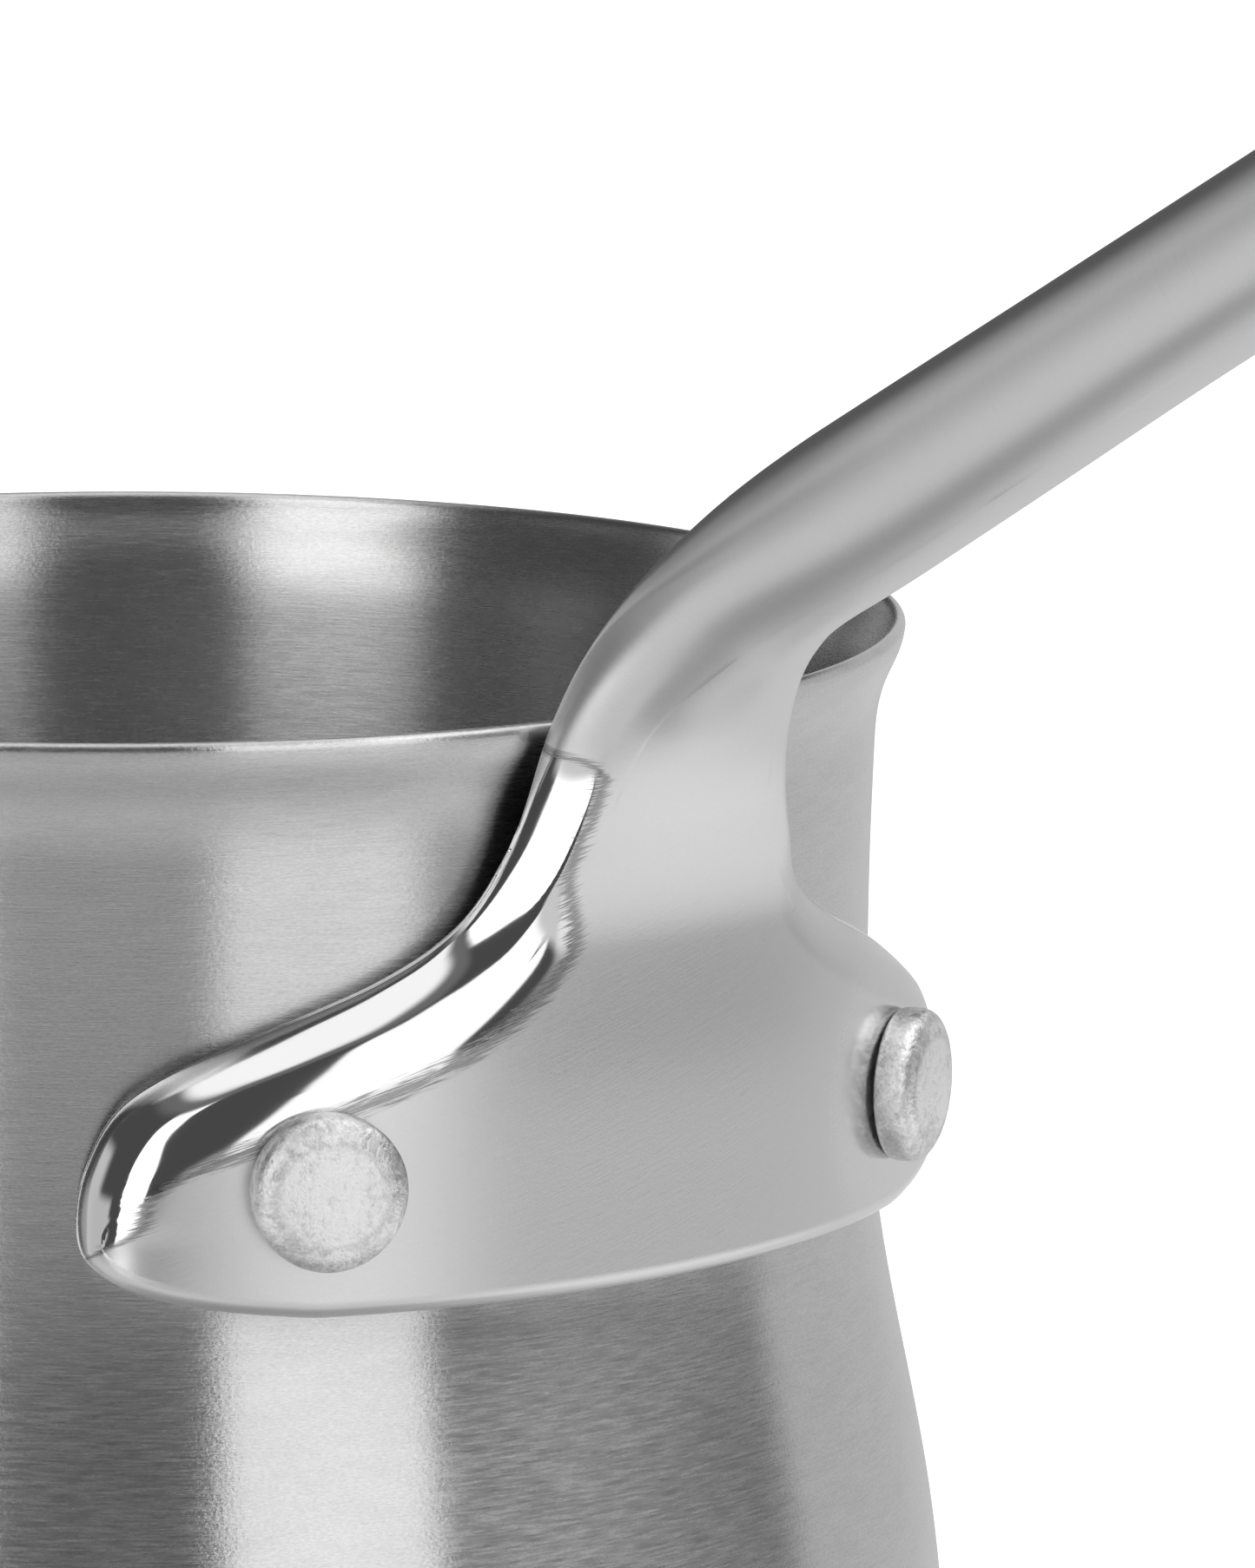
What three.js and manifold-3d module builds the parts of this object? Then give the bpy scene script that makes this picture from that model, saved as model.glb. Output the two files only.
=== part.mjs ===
// Turkish coffee pot (cezve): spun steel pot, encapsulated heat-spreading base, cast handle, two rivets.
// Millimetres, +Z up. Origin at the centre of the flat foot. The handle points along +X.
import * as THREE from "three";
import { mergeVertices } from "three/addons/utils/BufferGeometryUtils.js";
import Module from "manifold-3d";

// ---- driving dimensions -------------------------------------------------------------------------
const HEIGHT = 92;            // foot to rim
const WALL = 0.8;             // sheet thickness of the pot
const SEGMENTS = 84;          // facets round the pot

const FOOT_R = 35.2;          // base cap, outside radius
const CAP_TOP = 5.1;          // base cap, rim of its side wall
const CAP_SHEET = 0.7;        // base cap, sheet thickness
const CORE_R = 34.1;          // aluminium disc radius
const CORE_Z = [1.0, 5.1];    // aluminium disc, bottom and top

const SPOUT = { angle: -90, halfWidth: 24, reach: 5.0, depth: 17, lift: 0.9 };  // degrees and mm

const RIVET_ANGLE = 26.7;     // each side of the handle plane, degrees
const RIVET_Z = 68.85;
const RIVET = { headR: 3.95, headH: 1.3, seat: 45.5, shankR: 2.0, innerSeat: 39.95, innerR: 3.7, innerH: 1.0 };
const SHANK_HOLE_R = 2.3;

const BRACKET_R = 43.75;      // radius of the bracket's middle surface round the pot axis
const BRACKET_Z = 61.92;      // bottom edge of the bracket
const STICK_SLOPE = 29.5;     // degrees above horizontal
const STICK_POINT = [66.4, 108.9];  // a point [r, z] on the stick's centre line
const STICK_END_R = 164;      // r of the far end of the handle
const SLOT = { width: 5.6, length: 14, fromEnd: 12.5 };  // hanging hole in the paddle end

// ---- small interpolation helpers ----------------------------------------------------------------
// Monotone cubic through [x, y] pairs, flat outside the ends.
function monotone(points) {
  const x = points.map((p) => p[0]), y = points.map((p) => p[1]), n = x.length;
  const h = [], d = [], m = new Array(n).fill(0);
  for (let i = 0; i < n - 1; i++) { h.push(x[i + 1] - x[i]); d.push((y[i + 1] - y[i]) / h[i]); }
  m[0] = d[0]; m[n - 1] = d[n - 2];
  for (let i = 1; i < n - 1; i++) {
    if (d[i - 1] * d[i] <= 0) continue;
    const a = 2 * h[i] + h[i - 1], b = h[i] + 2 * h[i - 1];
    m[i] = (a + b) / (a / d[i - 1] + b / d[i]);
  }
  return (q) => {
    if (q <= x[0]) return y[0];
    if (q >= x[n - 1]) return y[n - 1];
    let i = 0;
    while (q > x[i + 1]) i++;
    const t = (q - x[i]) / h[i], t2 = t * t, t3 = t2 * t;
    return y[i] * (2 * t3 - 3 * t2 + 1) + y[i + 1] * (3 * t2 - 2 * t3)
      + h[i] * (m[i] * (t3 - 2 * t2 + t) + m[i + 1] * (t3 - t2));
  };
}

// Natural cubic spline through [r, z] points, as a function of arc length.
function spline(points) {
  const n = points.length, t = [0];
  for (let i = 1; i < n; i++) {
    t.push(t[i - 1] + Math.hypot(points[i][0] - points[i - 1][0], points[i][1] - points[i - 1][1]));
  }
  const second = [0, 1].map((k) => {
    const a = new Array(n).fill(0), c = new Array(n).fill(0), m = new Array(n).fill(0);
    for (let i = 1; i < n - 1; i++) {
      const h0 = t[i] - t[i - 1], h1 = t[i + 1] - t[i];
      const rhs = 6 * ((points[i + 1][k] - points[i][k]) / h1 - (points[i][k] - points[i - 1][k]) / h0);
      const den = 2 * (h0 + h1) - h0 * c[i - 1];
      c[i] = h1 / den; a[i] = (rhs - h0 * a[i - 1]) / den;
    }
    for (let i = n - 2; i > 0; i--) m[i] = a[i] - c[i] * m[i + 1];
    return m;
  });
  const at = (q) => {
    let i = 0;
    while (i < n - 2 && q > t[i + 1]) i++;
    const h = t[i + 1] - t[i], u = (t[i + 1] - q) / h, v = (q - t[i]) / h;
    return [0, 1].map((k) => u * points[i][k] + v * points[i + 1][k]
      + ((u ** 3 - u) * second[k][i] + (v ** 3 - v) * second[k][i + 1]) * h * h / 6);
  };
  const steps = 3000, s = [0];
  let last = at(0);
  for (let i = 1; i <= steps; i++) {
    const p = at(t[n - 1] * i / steps);
    s.push(s[i - 1] + Math.hypot(p[0] - last[0], p[1] - last[1]));
    last = p;
  }
  const point = (q) => {
    let lo = 0, hi = steps;
    while (hi - lo > 1) { const mid = (lo + hi) >> 1; if (s[mid] <= q) lo = mid; else hi = mid; }
    const f = s[hi] > s[lo] ? (q - s[lo]) / (s[hi] - s[lo]) : 0;
    return at(t[n - 1] * (lo + f) / steps);
  };
  return { length: s[steps], point };
}
const mix = (a, b, t) => a + (b - a) * t;
const smooth = (a, b, x) => { const t = Math.min(1, Math.max(0, (x - a) / (b - a))); return t * t * (3 - 2 * t); };
const rad = (deg) => deg * Math.PI / 180;

// ---- solids through manifold-3d -------------------------------------------------------------------
const wasm = await Module();
wasm.setup();
const { Manifold, Mesh: Solid } = wasm;
function toManifold(geometry) {
  const g = geometry.clone();
  g.deleteAttribute("normal"); g.deleteAttribute("uv");
  const m = mergeVertices(g, 1e-5);
  return new Manifold(new Solid({
    numProp: 3, vertProperties: new Float32Array(m.attributes.position.array), triVerts: new Uint32Array(m.index.array),
  }));
}
function fromManifold(manifold) {
  const m = manifold.getMesh(), g = new THREE.BufferGeometry();
  g.setAttribute("position", new THREE.BufferAttribute(new Float32Array(m.vertProperties), 3));
  g.setIndex(new THREE.BufferAttribute(new Uint32Array(m.triVerts), 1));
  g.computeVertexNormals();
  return g;
}
// Lathe about Z of a closed [r, z] outline that runs counter-clockwise seen with r right and z up.
function lathe(profile, segments) {
  const g = new THREE.LatheGeometry(profile.map(([r, z]) => new THREE.Vector2(r, z)), segments);
  return g.rotateX(Math.PI / 2);
}

// ---- pot body -------------------------------------------------------------------------------------
// Outside radius over height: flat bottom, rounded heel, belly, straight neck, flared lip.
const OUTSIDE = [
  [5.4, 35.6], [5.75, 37.6], [6.8, 40.2], [8.8, 42.7], [12, 44.7], [17, 45.95], [23, 46.35], [29, 46.2], [34.5, 45.8],
  [40.2, 45.17], [44.6, 44.5], [49, 43.65], [53.4, 42.75], [56.4, 42.18], [59, 41.77], [62, 41.45], [66, 41.2],
  [72, 41.1], [78.2, 41.17], [82.5, 41.28], [85.4, 41.41], [86.9, 41.56], [88.3, 41.93], [89.8, 42.56], [91.1, 42.98],
  [91.5, 43.03],
];
function bodyGeometry() {
  const outer = OUTSIDE.map(([z, r]) => [r, z]);
  const inner = [];
  for (let i = 1; i < outer.length - 1; i++) {
    const [r0, z0] = outer[i - 1], [r1, z1] = outer[i + 1], l = Math.hypot(r1 - r0, z1 - z0);
    inner.push([outer[i][0] - WALL * (z1 - z0) / l, outer[i][1] + WALL * (r1 - r0) / l]);
  }
  const lip = [[43.0, 91.8], [42.75, HEIGHT], [42.45, 91.93], [42.22, 91.6]];
  const floor = [[35.7, 5.4 + WALL], [0, 5.4 + WALL]];
  const profile = [[0, 5.4], ...outer, ...lip, ...inner.slice(2, -1).reverse(), ...floor];
  const g = lathe(profile, SEGMENTS);
  const p = g.attributes.position;
  for (let i = 0; i < p.count; i++) {
    const x = p.getX(i), y = p.getY(i), z = p.getZ(i), r = Math.hypot(x, y);
    if (r < 1 || z < HEIGHT - SPOUT.depth) continue;
    let away = Math.atan2(y, x) / rad(1) - SPOUT.angle;
    away = Math.abs(((away + 540) % 360) - 180);
    const across = 1 - smooth(0, SPOUT.halfWidth, away), up = ((z - HEIGHT + SPOUT.depth) / SPOUT.depth) ** 1.8;
    const k = (r + SPOUT.reach * across * up) / r;
    p.setXYZ(i, x * k, y * k, z + SPOUT.lift * across * up);
  }
  return g;
}

// ---- rivets ---------------------------------------------------------------------------------------
// Turned about its own axis, then laid along the radius of the pot.
function rivetGeometry(angle) {
  const { headR, headH, seat, shankR, innerSeat, innerR, innerH } = RIVET;
  const profile = [
    [0, innerSeat - innerH], [innerR - 1.2, innerSeat - innerH + 0.08], [innerR - 0.4, innerSeat - innerH + 0.35],
    [innerR, innerSeat - 0.25], [innerR, innerSeat], [shankR, innerSeat],
    [shankR, seat], [headR, seat], [headR + 0.02, seat + 0.5], [headR - 0.12, seat + headH - 0.32],
    [headR - 0.45, seat + headH - 0.12], [headR - 1.2, seat + headH - 0.03], [0, seat + headH],
  ];
  return lathe(profile, 28).rotateY(Math.PI / 2).rotateZ(rad(angle)).translate(0, 0, RIVET_Z);
}
function shankHole(angle) {
  const g = new THREE.CylinderGeometry(SHANK_HOLE_R, SHANK_HOLE_R, 10, 24);
  return toManifold(g.rotateZ(Math.PI / 2).translate(42.5, 0, 0).rotateZ(rad(angle)).translate(0, 0, RIVET_Z));
}

// ---- handle ---------------------------------------------------------------------------------------
// Centre line in the XZ plane: up beside the neck of the pot, over the rim, then straight.
const tilt = rad(STICK_SLOPE);
const onStick = (r) => [r, STICK_POINT[1] + (r - STICK_POINT[0]) * Math.tan(tilt)];
const centre = spline([
  [BRACKET_R, BRACKET_Z], [BRACKET_R, 68], [BRACKET_R, 74], [43.6, 80], [43.65, 85], [44.3, 90], [46.3, 95],
  [50.3, 99.5], [56.7, 103.4], onStick(61), onStick(70), onStick(82), onStick(110), onStick(STICK_END_R),
]);
const END = centre.length;
const PADDLE = END - 34;      // where the stick starts to widen into the paddle
// Half width of the outline against the distance s along the centre line.
const halfWidthBody = monotone([
  [0, 20.8], [0.5, 25.1], [1.2, 28.7], [2.2, 31.3], [3.5, 32.8], [5, 33.0], [6.5, 32.8], [8, 32.3], [9.5, 31.6],
  [11, 30.5], [12.5, 28.4], [14, 25.1], [15.5, 20.9], [17, 16.7], [18.5, 13.6], [20, 11.6], [22.5, 9.8], [26, 8.4],
  [31, 7.5], [37, 6.2], [45, 5.1], [56, 4.4], [75, 4.2], [PADDLE, 3.9], [END - 18, 6.6], [END - 7, 7],
]);
function halfWidth(s) {
  const e = Math.max(0, (s - (END - 7)) / 7);
  return halfWidthBody(s) * Math.sqrt(Math.max(0, 1 - e * e));
}
const outerHeight = monotone([[0, 1.45], [12, 1.45], [18, 1.5], [24, 2.15], [30, 3.3], [38, 4.6], [50, 4.7],
  [75, 4.25], [PADDLE, 3.9], [END - 14, 2.3], [END, 2.2]]);
const innerHeight = monotone([[0, 1.95], [12, 1.9], [18, 1.5], [24, 1.05], [30, 1.1], [38, 3.1], [50, 4.2],
  [75, 4.2], [PADDLE, 3.9], [END - 14, 2.3], [END, 2.2]]);
const roundness = monotone([[0, 0], [17, 0], [24, 0.45], [32, 0.9], [40, 1], [PADDLE, 1], [END - 14, 0.55], [END, 0.5]]);
const wrap = monotone([[0, 1], [18, 1], [26, 0.75], [36, 0.3], [48, 0], [60, 0]]);

// Nearest point of the bracket's outline to (x, s): its distance and the s part of its outward normal.
const OUTLINE = [[0, 0], [10, 0]];
for (let s = 0; s <= 70; s += s < 20 ? 0.25 : 1) OUTLINE.push([halfWidth(s), s]);
function nearOutline(x, s) {
  let best = [1e9, 0];
  for (let i = 1; i < OUTLINE.length; i++) {
    const [ax, as] = OUTLINE[i - 1], [bx, bs] = OUTLINE[i], dx = bx - ax, ds = bs - as, l2 = dx * dx + ds * ds;
    const t = Math.min(1, Math.max(0, ((x - ax) * dx + (s - as) * ds) / l2));
    const d = Math.hypot(x - ax - t * dx, s - as - t * ds);
    if (d < best[0]) best = [d, -dx / Math.sqrt(l2)];
  }
  return best;
}
// Heights of the front and back surfaces above the middle surface at lateral position x, station s.
function heights(x, s) {
  const w = halfWidth(s), ho = outerHeight(s), hi = innerHeight(s), b = roundness(s);
  const across = Math.max(0, w - Math.abs(x));
  let d = across, up = 0;
  if (s < 55) {
    const [plate, n] = nearOutline(Math.abs(x), s);
    d = mix(plate, across, smooth(30, 55, s)); up = n;
  }
  const low = Math.min(1, Math.max(0, -up * 1.6)), high = Math.min(1, Math.max(0, up * 1.3));
  const shoulder = 2.9 - 2.0 * low + 1.5 * high;   // width of the rounding along this edge
  const edge = 0.25 + 0.35 * low - 0.15 * high;    // front height left at the edge, as a share
  const arc = (v) => Math.sqrt(Math.max(0, 1 - (1 - Math.min(1, v)) ** 2));
  const bevel = (v) => 1 - (1 - Math.min(1, v)) ** 2;
  const round = arc(w > 0 ? across / w : 0);
  const front = ho * mix(mix(edge, 1, bevel(d / shoulder)), round, b);
  const back = hi * mix(mix(0.72, 1, bevel(d / 0.5)), round, smooth(26, 42, s) * b);
  return [front, -back];
}
function place(x, eta, s) {
  const [r, z] = centre.point(s), [r1, z1] = centre.point(Math.min(END, s + 0.05));
  const [r0, z0] = centre.point(Math.max(0, s - 0.05)), l = Math.hypot(r1 - r0, z1 - z0);
  const nr = (z1 - z0) / l, nz = -(r1 - r0) / l, k = wrap(s) / BRACKET_R;
  const side = k > 1e-6 ? Math.sin(k * x) * (1 / k + eta) : x;
  const out = k > 1e-6 ? Math.cos(k * x) * (1 / k + eta) - 1 / k : eta;
  return [r + out * nr, side, z + out * nz];
}
function handleGeometry() {
  const stations = [];
  for (const s of [0, 0.25, 0.6, 1.1, 1.7, 2.4, 3.4, 4.6, 6, 7.6, 9.2, 10.6, 11.8, 12.8, 13.7, 14.6, 15.4, 16.2,
    17, 17.8, 18.8, 20, 21.5, 23.2, 25, 27, 29, 31, 33, 35, 37, 39.5, 42, 45, 49, 55]) stations.push(s);
  for (let s = 66; s < PADDLE - 4; s += 13) stations.push(s);
  for (let e = 34; e > 7.5; e -= 3.2) stations.push(END - e);
  for (const e of [7, 5.8, 4.5, 3.2, 2, 1.1, 0.45, 0.1]) stations.push(END - e);
  const half = [];                       // positions across, denser towards the edges
  for (let j = 0; j <= 22; j++) half.push(Math.sin((j / 22 - 0.5) * Math.PI));
  const ring = [];
  for (const s of stations) {
    const w = halfWidth(s), front = [], back = [];
    for (const u of half) {
      const [f, b] = heights(u * w, s);
      front.push(place(u * w, f, s)); back.push(place(u * w, b, s));
    }
    ring.push([...front, ...back.reverse()]);
  }
  const n = ring[0].length, position = ring.flat(2), index = [];
  for (let i = 0; i < ring.length - 1; i++) {
    for (let j = 0; j < n; j++) {
      const a = i * n + j, b = i * n + (j + 1) % n;
      index.push(a, b, b + n, a, b + n, a + n);
    }
  }
  const m = half.length, last = (ring.length - 1) * n;
  for (let j = 0; j < m - 1; j++) {      // close both ends, front row to back row
    const a = j, b = j + 1, c = n - 2 - j, d = n - 1 - j;
    index.push(a, d, c, a, c, b);
    index.push(last + a, last + c, last + d, last + a, last + b, last + c);
  }
  const g = new THREE.BufferGeometry();
  g.setAttribute("position", new THREE.BufferAttribute(new Float32Array(position), 3));
  g.setIndex(index);
  return g;
}
// Oblong hole square to the paddle: two round ends and the straight between them.
function hangingHole() {
  const along = SLOT.length / 2 - SLOT.width / 2, mid = centre.point(END - SLOT.fromEnd);
  const shape = new THREE.Shape();
  shape.absarc(along, 0, SLOT.width / 2, -Math.PI / 2, Math.PI / 2, false);
  shape.absarc(-along, 0, SLOT.width / 2, Math.PI / 2, 3 * Math.PI / 2, false);
  const g = new THREE.ExtrudeGeometry(shape, { depth: 12, bevelEnabled: false, curveSegments: 12 });
  return toManifold(g.translate(0, 0, -6).rotateY(-tilt).translate(mid[0], 0, mid[1]));
}

// ---- assembly -------------------------------------------------------------------------------------
const steel = (color, roughness) => new THREE.MeshStandardMaterial({ color, metalness: 1, roughness });
function named(name, geometry, material) {
  const mesh = new THREE.Mesh(geometry, material);
  mesh.name = name;
  return mesh;
}
const holes = [shankHole(-RIVET_ANGLE), shankHole(RIVET_ANGLE)];
const body = toManifold(bodyGeometry()).subtract(holes[0]).subtract(holes[1]);
const handle = toManifold(handleGeometry()).subtract(holes[0]).subtract(holes[1]).subtract(hangingHole());

const capProfile = [
  [0, 0], [FOOT_R - 1.1, 0], [FOOT_R - 0.35, 0.3], [FOOT_R, 1.05], [FOOT_R, CAP_TOP], [FOOT_R - CAP_SHEET, CAP_TOP],
  [FOOT_R - CAP_SHEET, 1.3], [FOOT_R - CAP_SHEET - 0.5, CAP_SHEET], [0, CAP_SHEET],
];
const coreProfile = [
  [0, CORE_Z[0]], [CORE_R - 0.6, CORE_Z[0]], [CORE_R, CORE_Z[0] + 0.6], [CORE_R, CORE_Z[1]], [0, CORE_Z[1]],
];

const group = new THREE.Group();
group.name = "cezve";
group.add(
  named("pot_body", fromManifold(body), steel(0xb9bcc0, 0.35)),
  named("base_core", lathe(coreProfile, 64), steel(0xc9ccd0, 0.5)),
  named("base_cap", lathe(capProfile, 72), steel(0xaeb1b5, 0.35)),
  named("handle", fromManifold(handle), steel(0xc4c6c9, 0.3)),
  named("rivet_right", rivetGeometry(RIVET_ANGLE), steel(0xa9abad, 0.55)),
  named("rivet_left", rivetGeometry(-RIVET_ANGLE), steel(0xa9abad, 0.55)),
);
export default group;
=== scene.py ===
import math

import bmesh
import bpy
import numpy as np
from bpy.props import FloatProperty, FloatVectorProperty, IntProperty, PointerProperty
from mathutils import Matrix, Vector
from mathutils.kdtree import KDTree


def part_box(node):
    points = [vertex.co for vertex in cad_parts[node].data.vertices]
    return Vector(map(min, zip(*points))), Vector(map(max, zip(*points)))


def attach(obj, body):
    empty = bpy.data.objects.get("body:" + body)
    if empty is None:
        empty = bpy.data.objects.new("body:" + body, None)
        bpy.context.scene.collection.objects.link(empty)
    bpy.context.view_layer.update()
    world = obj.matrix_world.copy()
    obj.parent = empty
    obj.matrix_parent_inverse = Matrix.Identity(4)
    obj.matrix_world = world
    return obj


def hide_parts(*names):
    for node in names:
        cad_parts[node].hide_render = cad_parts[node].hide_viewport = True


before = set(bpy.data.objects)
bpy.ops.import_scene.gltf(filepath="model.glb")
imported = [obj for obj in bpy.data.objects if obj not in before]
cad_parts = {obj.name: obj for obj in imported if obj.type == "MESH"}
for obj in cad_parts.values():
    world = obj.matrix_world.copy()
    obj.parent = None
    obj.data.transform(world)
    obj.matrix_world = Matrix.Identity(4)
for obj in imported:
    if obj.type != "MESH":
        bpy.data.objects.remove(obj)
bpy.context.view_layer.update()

bl_info = {
    "name": "Cezve Maker",
    "version": (1, 0, 0),
    "blender": (4, 5, 0),
    "location": "View3D > Sidebar > Cezve",
    "description": "Builds a riveted steel coffee pot, its finishes and its studio",
    "category": "Add Mesh",
}

MM = 0.001
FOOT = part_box("base_cap")
RIM_TOP = 0.092
RIVET_TURN = 2.2          # how far the second rivet is turned about its own axis, radians
RIVET_RING = 0.00085      # spacing of the struck rings on a rivet head, metres
UNLIT = 0.06              # brightness of the studio where no card stands
CAMERA_AHEAD = Vector((-0.7221, 0.6690, -0.1758))
CAMERA_UP = Vector((-0.1323, 0.1159, 0.9844))


# ---- properties --------------------------------------------------------------------------------------

def distance_property(name, description, default, **limits):
    return FloatProperty(name=name, description=description, default=default, subtype="DISTANCE", **limits)


def angle_property(name, description, degrees):
    return FloatProperty(name=name, description=description, default=math.radians(degrees), subtype="ANGLE")


def grey_property(name, description, grey):
    return FloatVectorProperty(
        name=name, description=description, size=3, default=(grey,) * 3, min=0, max=1, subtype="COLOR")


# ---- sizes -------------------------------------------------------------------------------------------

class PotSizes(bpy.types.PropertyGroup):
    wall: distance_property("Wall", "Sheet thickness of the pot", 0.0008, min=0.0003)
    spout_reach: distance_property("Lip Reach", "How far the pouring lip stands out", 0.005)
    spout_lift: distance_property("Lip Lift", "How far the pouring lip rises", 0.0009)
    spout_depth: distance_property("Lip Depth", "Height over which the pouring lip forms", 0.017)
    spout_half_width: angle_property("Lip Half Width", "Half of the pouring lip's angle", 24)
    segments: IntProperty(name="Segments", description="Facets round the pot", default=240, min=64, max=480)
    foot_radius: distance_property("Foot Radius", "Outside radius of the base cap", FOOT[1][0])


class HandleSizes(bpy.types.PropertyGroup):
    bracket_radius: distance_property("Bracket Radius", "Radius of the bracket's middle surface", 0.04375)
    bracket_bottom: distance_property("Bracket Bottom", "Height of the bracket's lower edge", 0.06192)
    slope: angle_property("Slope", "Rise of the straight stick", 29.5)
    reach: distance_property("Reach", "Distance of the handle's end from the pot axis", 0.164)
    slot_width: distance_property("Slot Width", "Width of the hanging slot", 0.0056)
    slot_length: distance_property("Slot Length", "Length of the hanging slot", 0.014)
    slot_from_end: distance_property("Slot From End", "Middle of the slot from the handle's end", 0.0125)


class RivetSizes(bpy.types.PropertyGroup):
    angle: angle_property("Angle", "Angle of each rivet from the handle's plane", 26.7)
    height: distance_property("Height", "Height of the rivets over the foot", 0.06885)
    head_radius: distance_property("Head Radius", "Radius of the outer head", 0.0041)
    head_height: distance_property("Head Height", "Height of the outer head", 0.00225)
    seat: distance_property("Seat", "Distance of the outer head's seat from the pot axis", 0.04525)


class FinishSettings(bpy.types.PropertyGroup):
    steel: grey_property("Steel", "Colour of the pot's steel", 0.60)
    cast: grey_property("Cast Steel", "Colour of the handle's steel", 0.73)
    brush_spacing: distance_property("Brush Spacing", "Distance between brush lines", 0.0001)
    brush_length: distance_property("Brush Length", "Length of a brush line", 0.0019)


class StudioSettings(bpy.types.PropertyGroup):
    azimuth: angle_property("Azimuth", "Camera angle round the pot from -Y", 49.85)
    distance: distance_property("Distance", "Camera distance from the pot axis", 0.600)
    rise: distance_property("Rise", "Camera height over the rim", 0.09723)
    lens: FloatProperty(name="Lens", description="Focal length", default=255.45, unit="CAMERA")
    floor: FloatProperty(name="Floor", description="Brightness of the floor's own glow", default=0.50,
                         min=0)


# ---- curves ------------------------------------------------------------------------------------------

def monotone(points):
    """Monotone cubic through (x, y) pairs, flat outside the ends."""
    x, y = (np.array(v, float) for v in zip(*points))
    h, d = np.diff(x), np.diff(y) / np.diff(x)
    m = np.zeros(len(x))
    m[0], m[-1] = d[0], d[-1]
    for i in range(1, len(x) - 1):
        if d[i - 1] * d[i] > 0:
            a, b = 2 * h[i] + h[i - 1], h[i] + 2 * h[i - 1]
            m[i] = (a + b) / (a / d[i - 1] + b / d[i])

    def value(q):
        q = np.clip(np.asarray(q, float), x[0], x[-1])
        i = np.clip(np.searchsorted(x, q, side="right") - 1, 0, len(x) - 2)
        t = (q - x[i]) / h[i]
        t2, t3 = t * t, t * t * t
        return (y[i] * (2 * t3 - 3 * t2 + 1) + y[i + 1] * (3 * t2 - 2 * t3)
                + h[i] * (m[i] * (t3 - 2 * t2 + t) + m[i + 1] * (t3 - t2)))
    return value


class Path:
    """Natural cubic spline through points of any dimension, read by arc length."""

    def __init__(self, points, steps=6000):
        p = np.array(points, float)
        t = np.concatenate([[0], np.cumsum(np.linalg.norm(np.diff(p, axis=0), axis=1))])
        n, h = len(p), np.diff(t)
        a, rhs = np.eye(n), np.zeros_like(p)
        for i in range(1, n - 1):
            a[i, i - 1:i + 2] = h[i - 1], 2 * (h[i - 1] + h[i]), h[i]
            rhs[i] = 6 * ((p[i + 1] - p[i]) / h[i] - (p[i] - p[i - 1]) / h[i - 1])
        m = np.linalg.solve(a, rhs)
        q = np.linspace(0, t[-1], steps)
        i = np.clip(np.searchsorted(t, q, side="right") - 1, 0, n - 2)
        u, v = ((t[i + 1] - q) / h[i])[:, None], ((q - t[i]) / h[i])[:, None]
        self.dense = (u * p[i] + v * p[i + 1]
                      + ((u ** 3 - u) * m[i] + (v ** 3 - v) * m[i + 1]) * (h[i] ** 2)[:, None] / 6)
        self.s = np.concatenate([[0], np.cumsum(np.linalg.norm(np.diff(self.dense, axis=0), axis=1))])
        self.length = self.s[-1]

    def at(self, q):
        return np.stack([np.interp(q, self.s, c) for c in self.dense.T], -1)


def smooth_step(a, b, x):
    t = np.clip((np.asarray(x, float) - a) / (b - a), 0, 1)
    return t * t * (3 - 2 * t)


def mix(a, b, t):
    return a + (b - a) * t


# ---- mesh helpers ------------------------------------------------------------------------------------

def new_object(name, verts, faces):
    mesh = bpy.data.meshes.new(name)
    mesh.from_pydata([tuple(v) for v in verts], [], [tuple(int(i) for i in f) for f in faces])
    mesh.validate()
    mesh.update()
    obj = bpy.data.objects.new(name, mesh)
    bpy.context.scene.collection.objects.link(obj)
    mesh.polygons.foreach_set("use_smooth", [True] * len(mesh.polygons))
    return obj


def point_tree(points):
    """Search tree over points of three coordinates."""
    tree = KDTree(len(points))
    for i, p in enumerate(points):
        tree.insert(p, i)
    tree.balance()
    return tree


def lathe(profile, segments):
    """Vertices and faces of a profile [r, z] from axis to axis, turned about Z."""
    angle = np.linspace(0, 2 * math.pi, segments, endpoint=False)
    verts, faces, rings = [], [], []
    for r, z in profile:
        if r < 1e-9:
            rings.append([len(verts)])
            verts.append((0.0, 0.0, z))
        else:
            rings.append(list(range(len(verts), len(verts) + segments)))
            verts += [(r * math.cos(a), r * math.sin(a), z) for a in angle]
    for a, b in zip(rings, rings[1:]):
        for i in range(segments):
            j = (i + 1) % segments
            if len(a) == 1:
                faces.append((a[0], b[j], b[i]))
            elif len(b) == 1:
                faces.append((a[i], a[j], b[0]))
            else:
                faces.append((a[i], a[j], b[j], b[i]))
    return np.array(verts), faces


def fix_normals(obj):
    bm = bmesh.new()
    bm.from_mesh(obj.data)
    bmesh.ops.remove_doubles(bm, verts=bm.verts, dist=1e-7)
    bmesh.ops.recalc_face_normals(bm, faces=bm.faces)
    if bm.calc_volume(signed=True) < 0:
        bmesh.ops.reverse_faces(bm, faces=bm.faces)
    bm.to_mesh(obj.data)
    bm.free()


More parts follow.
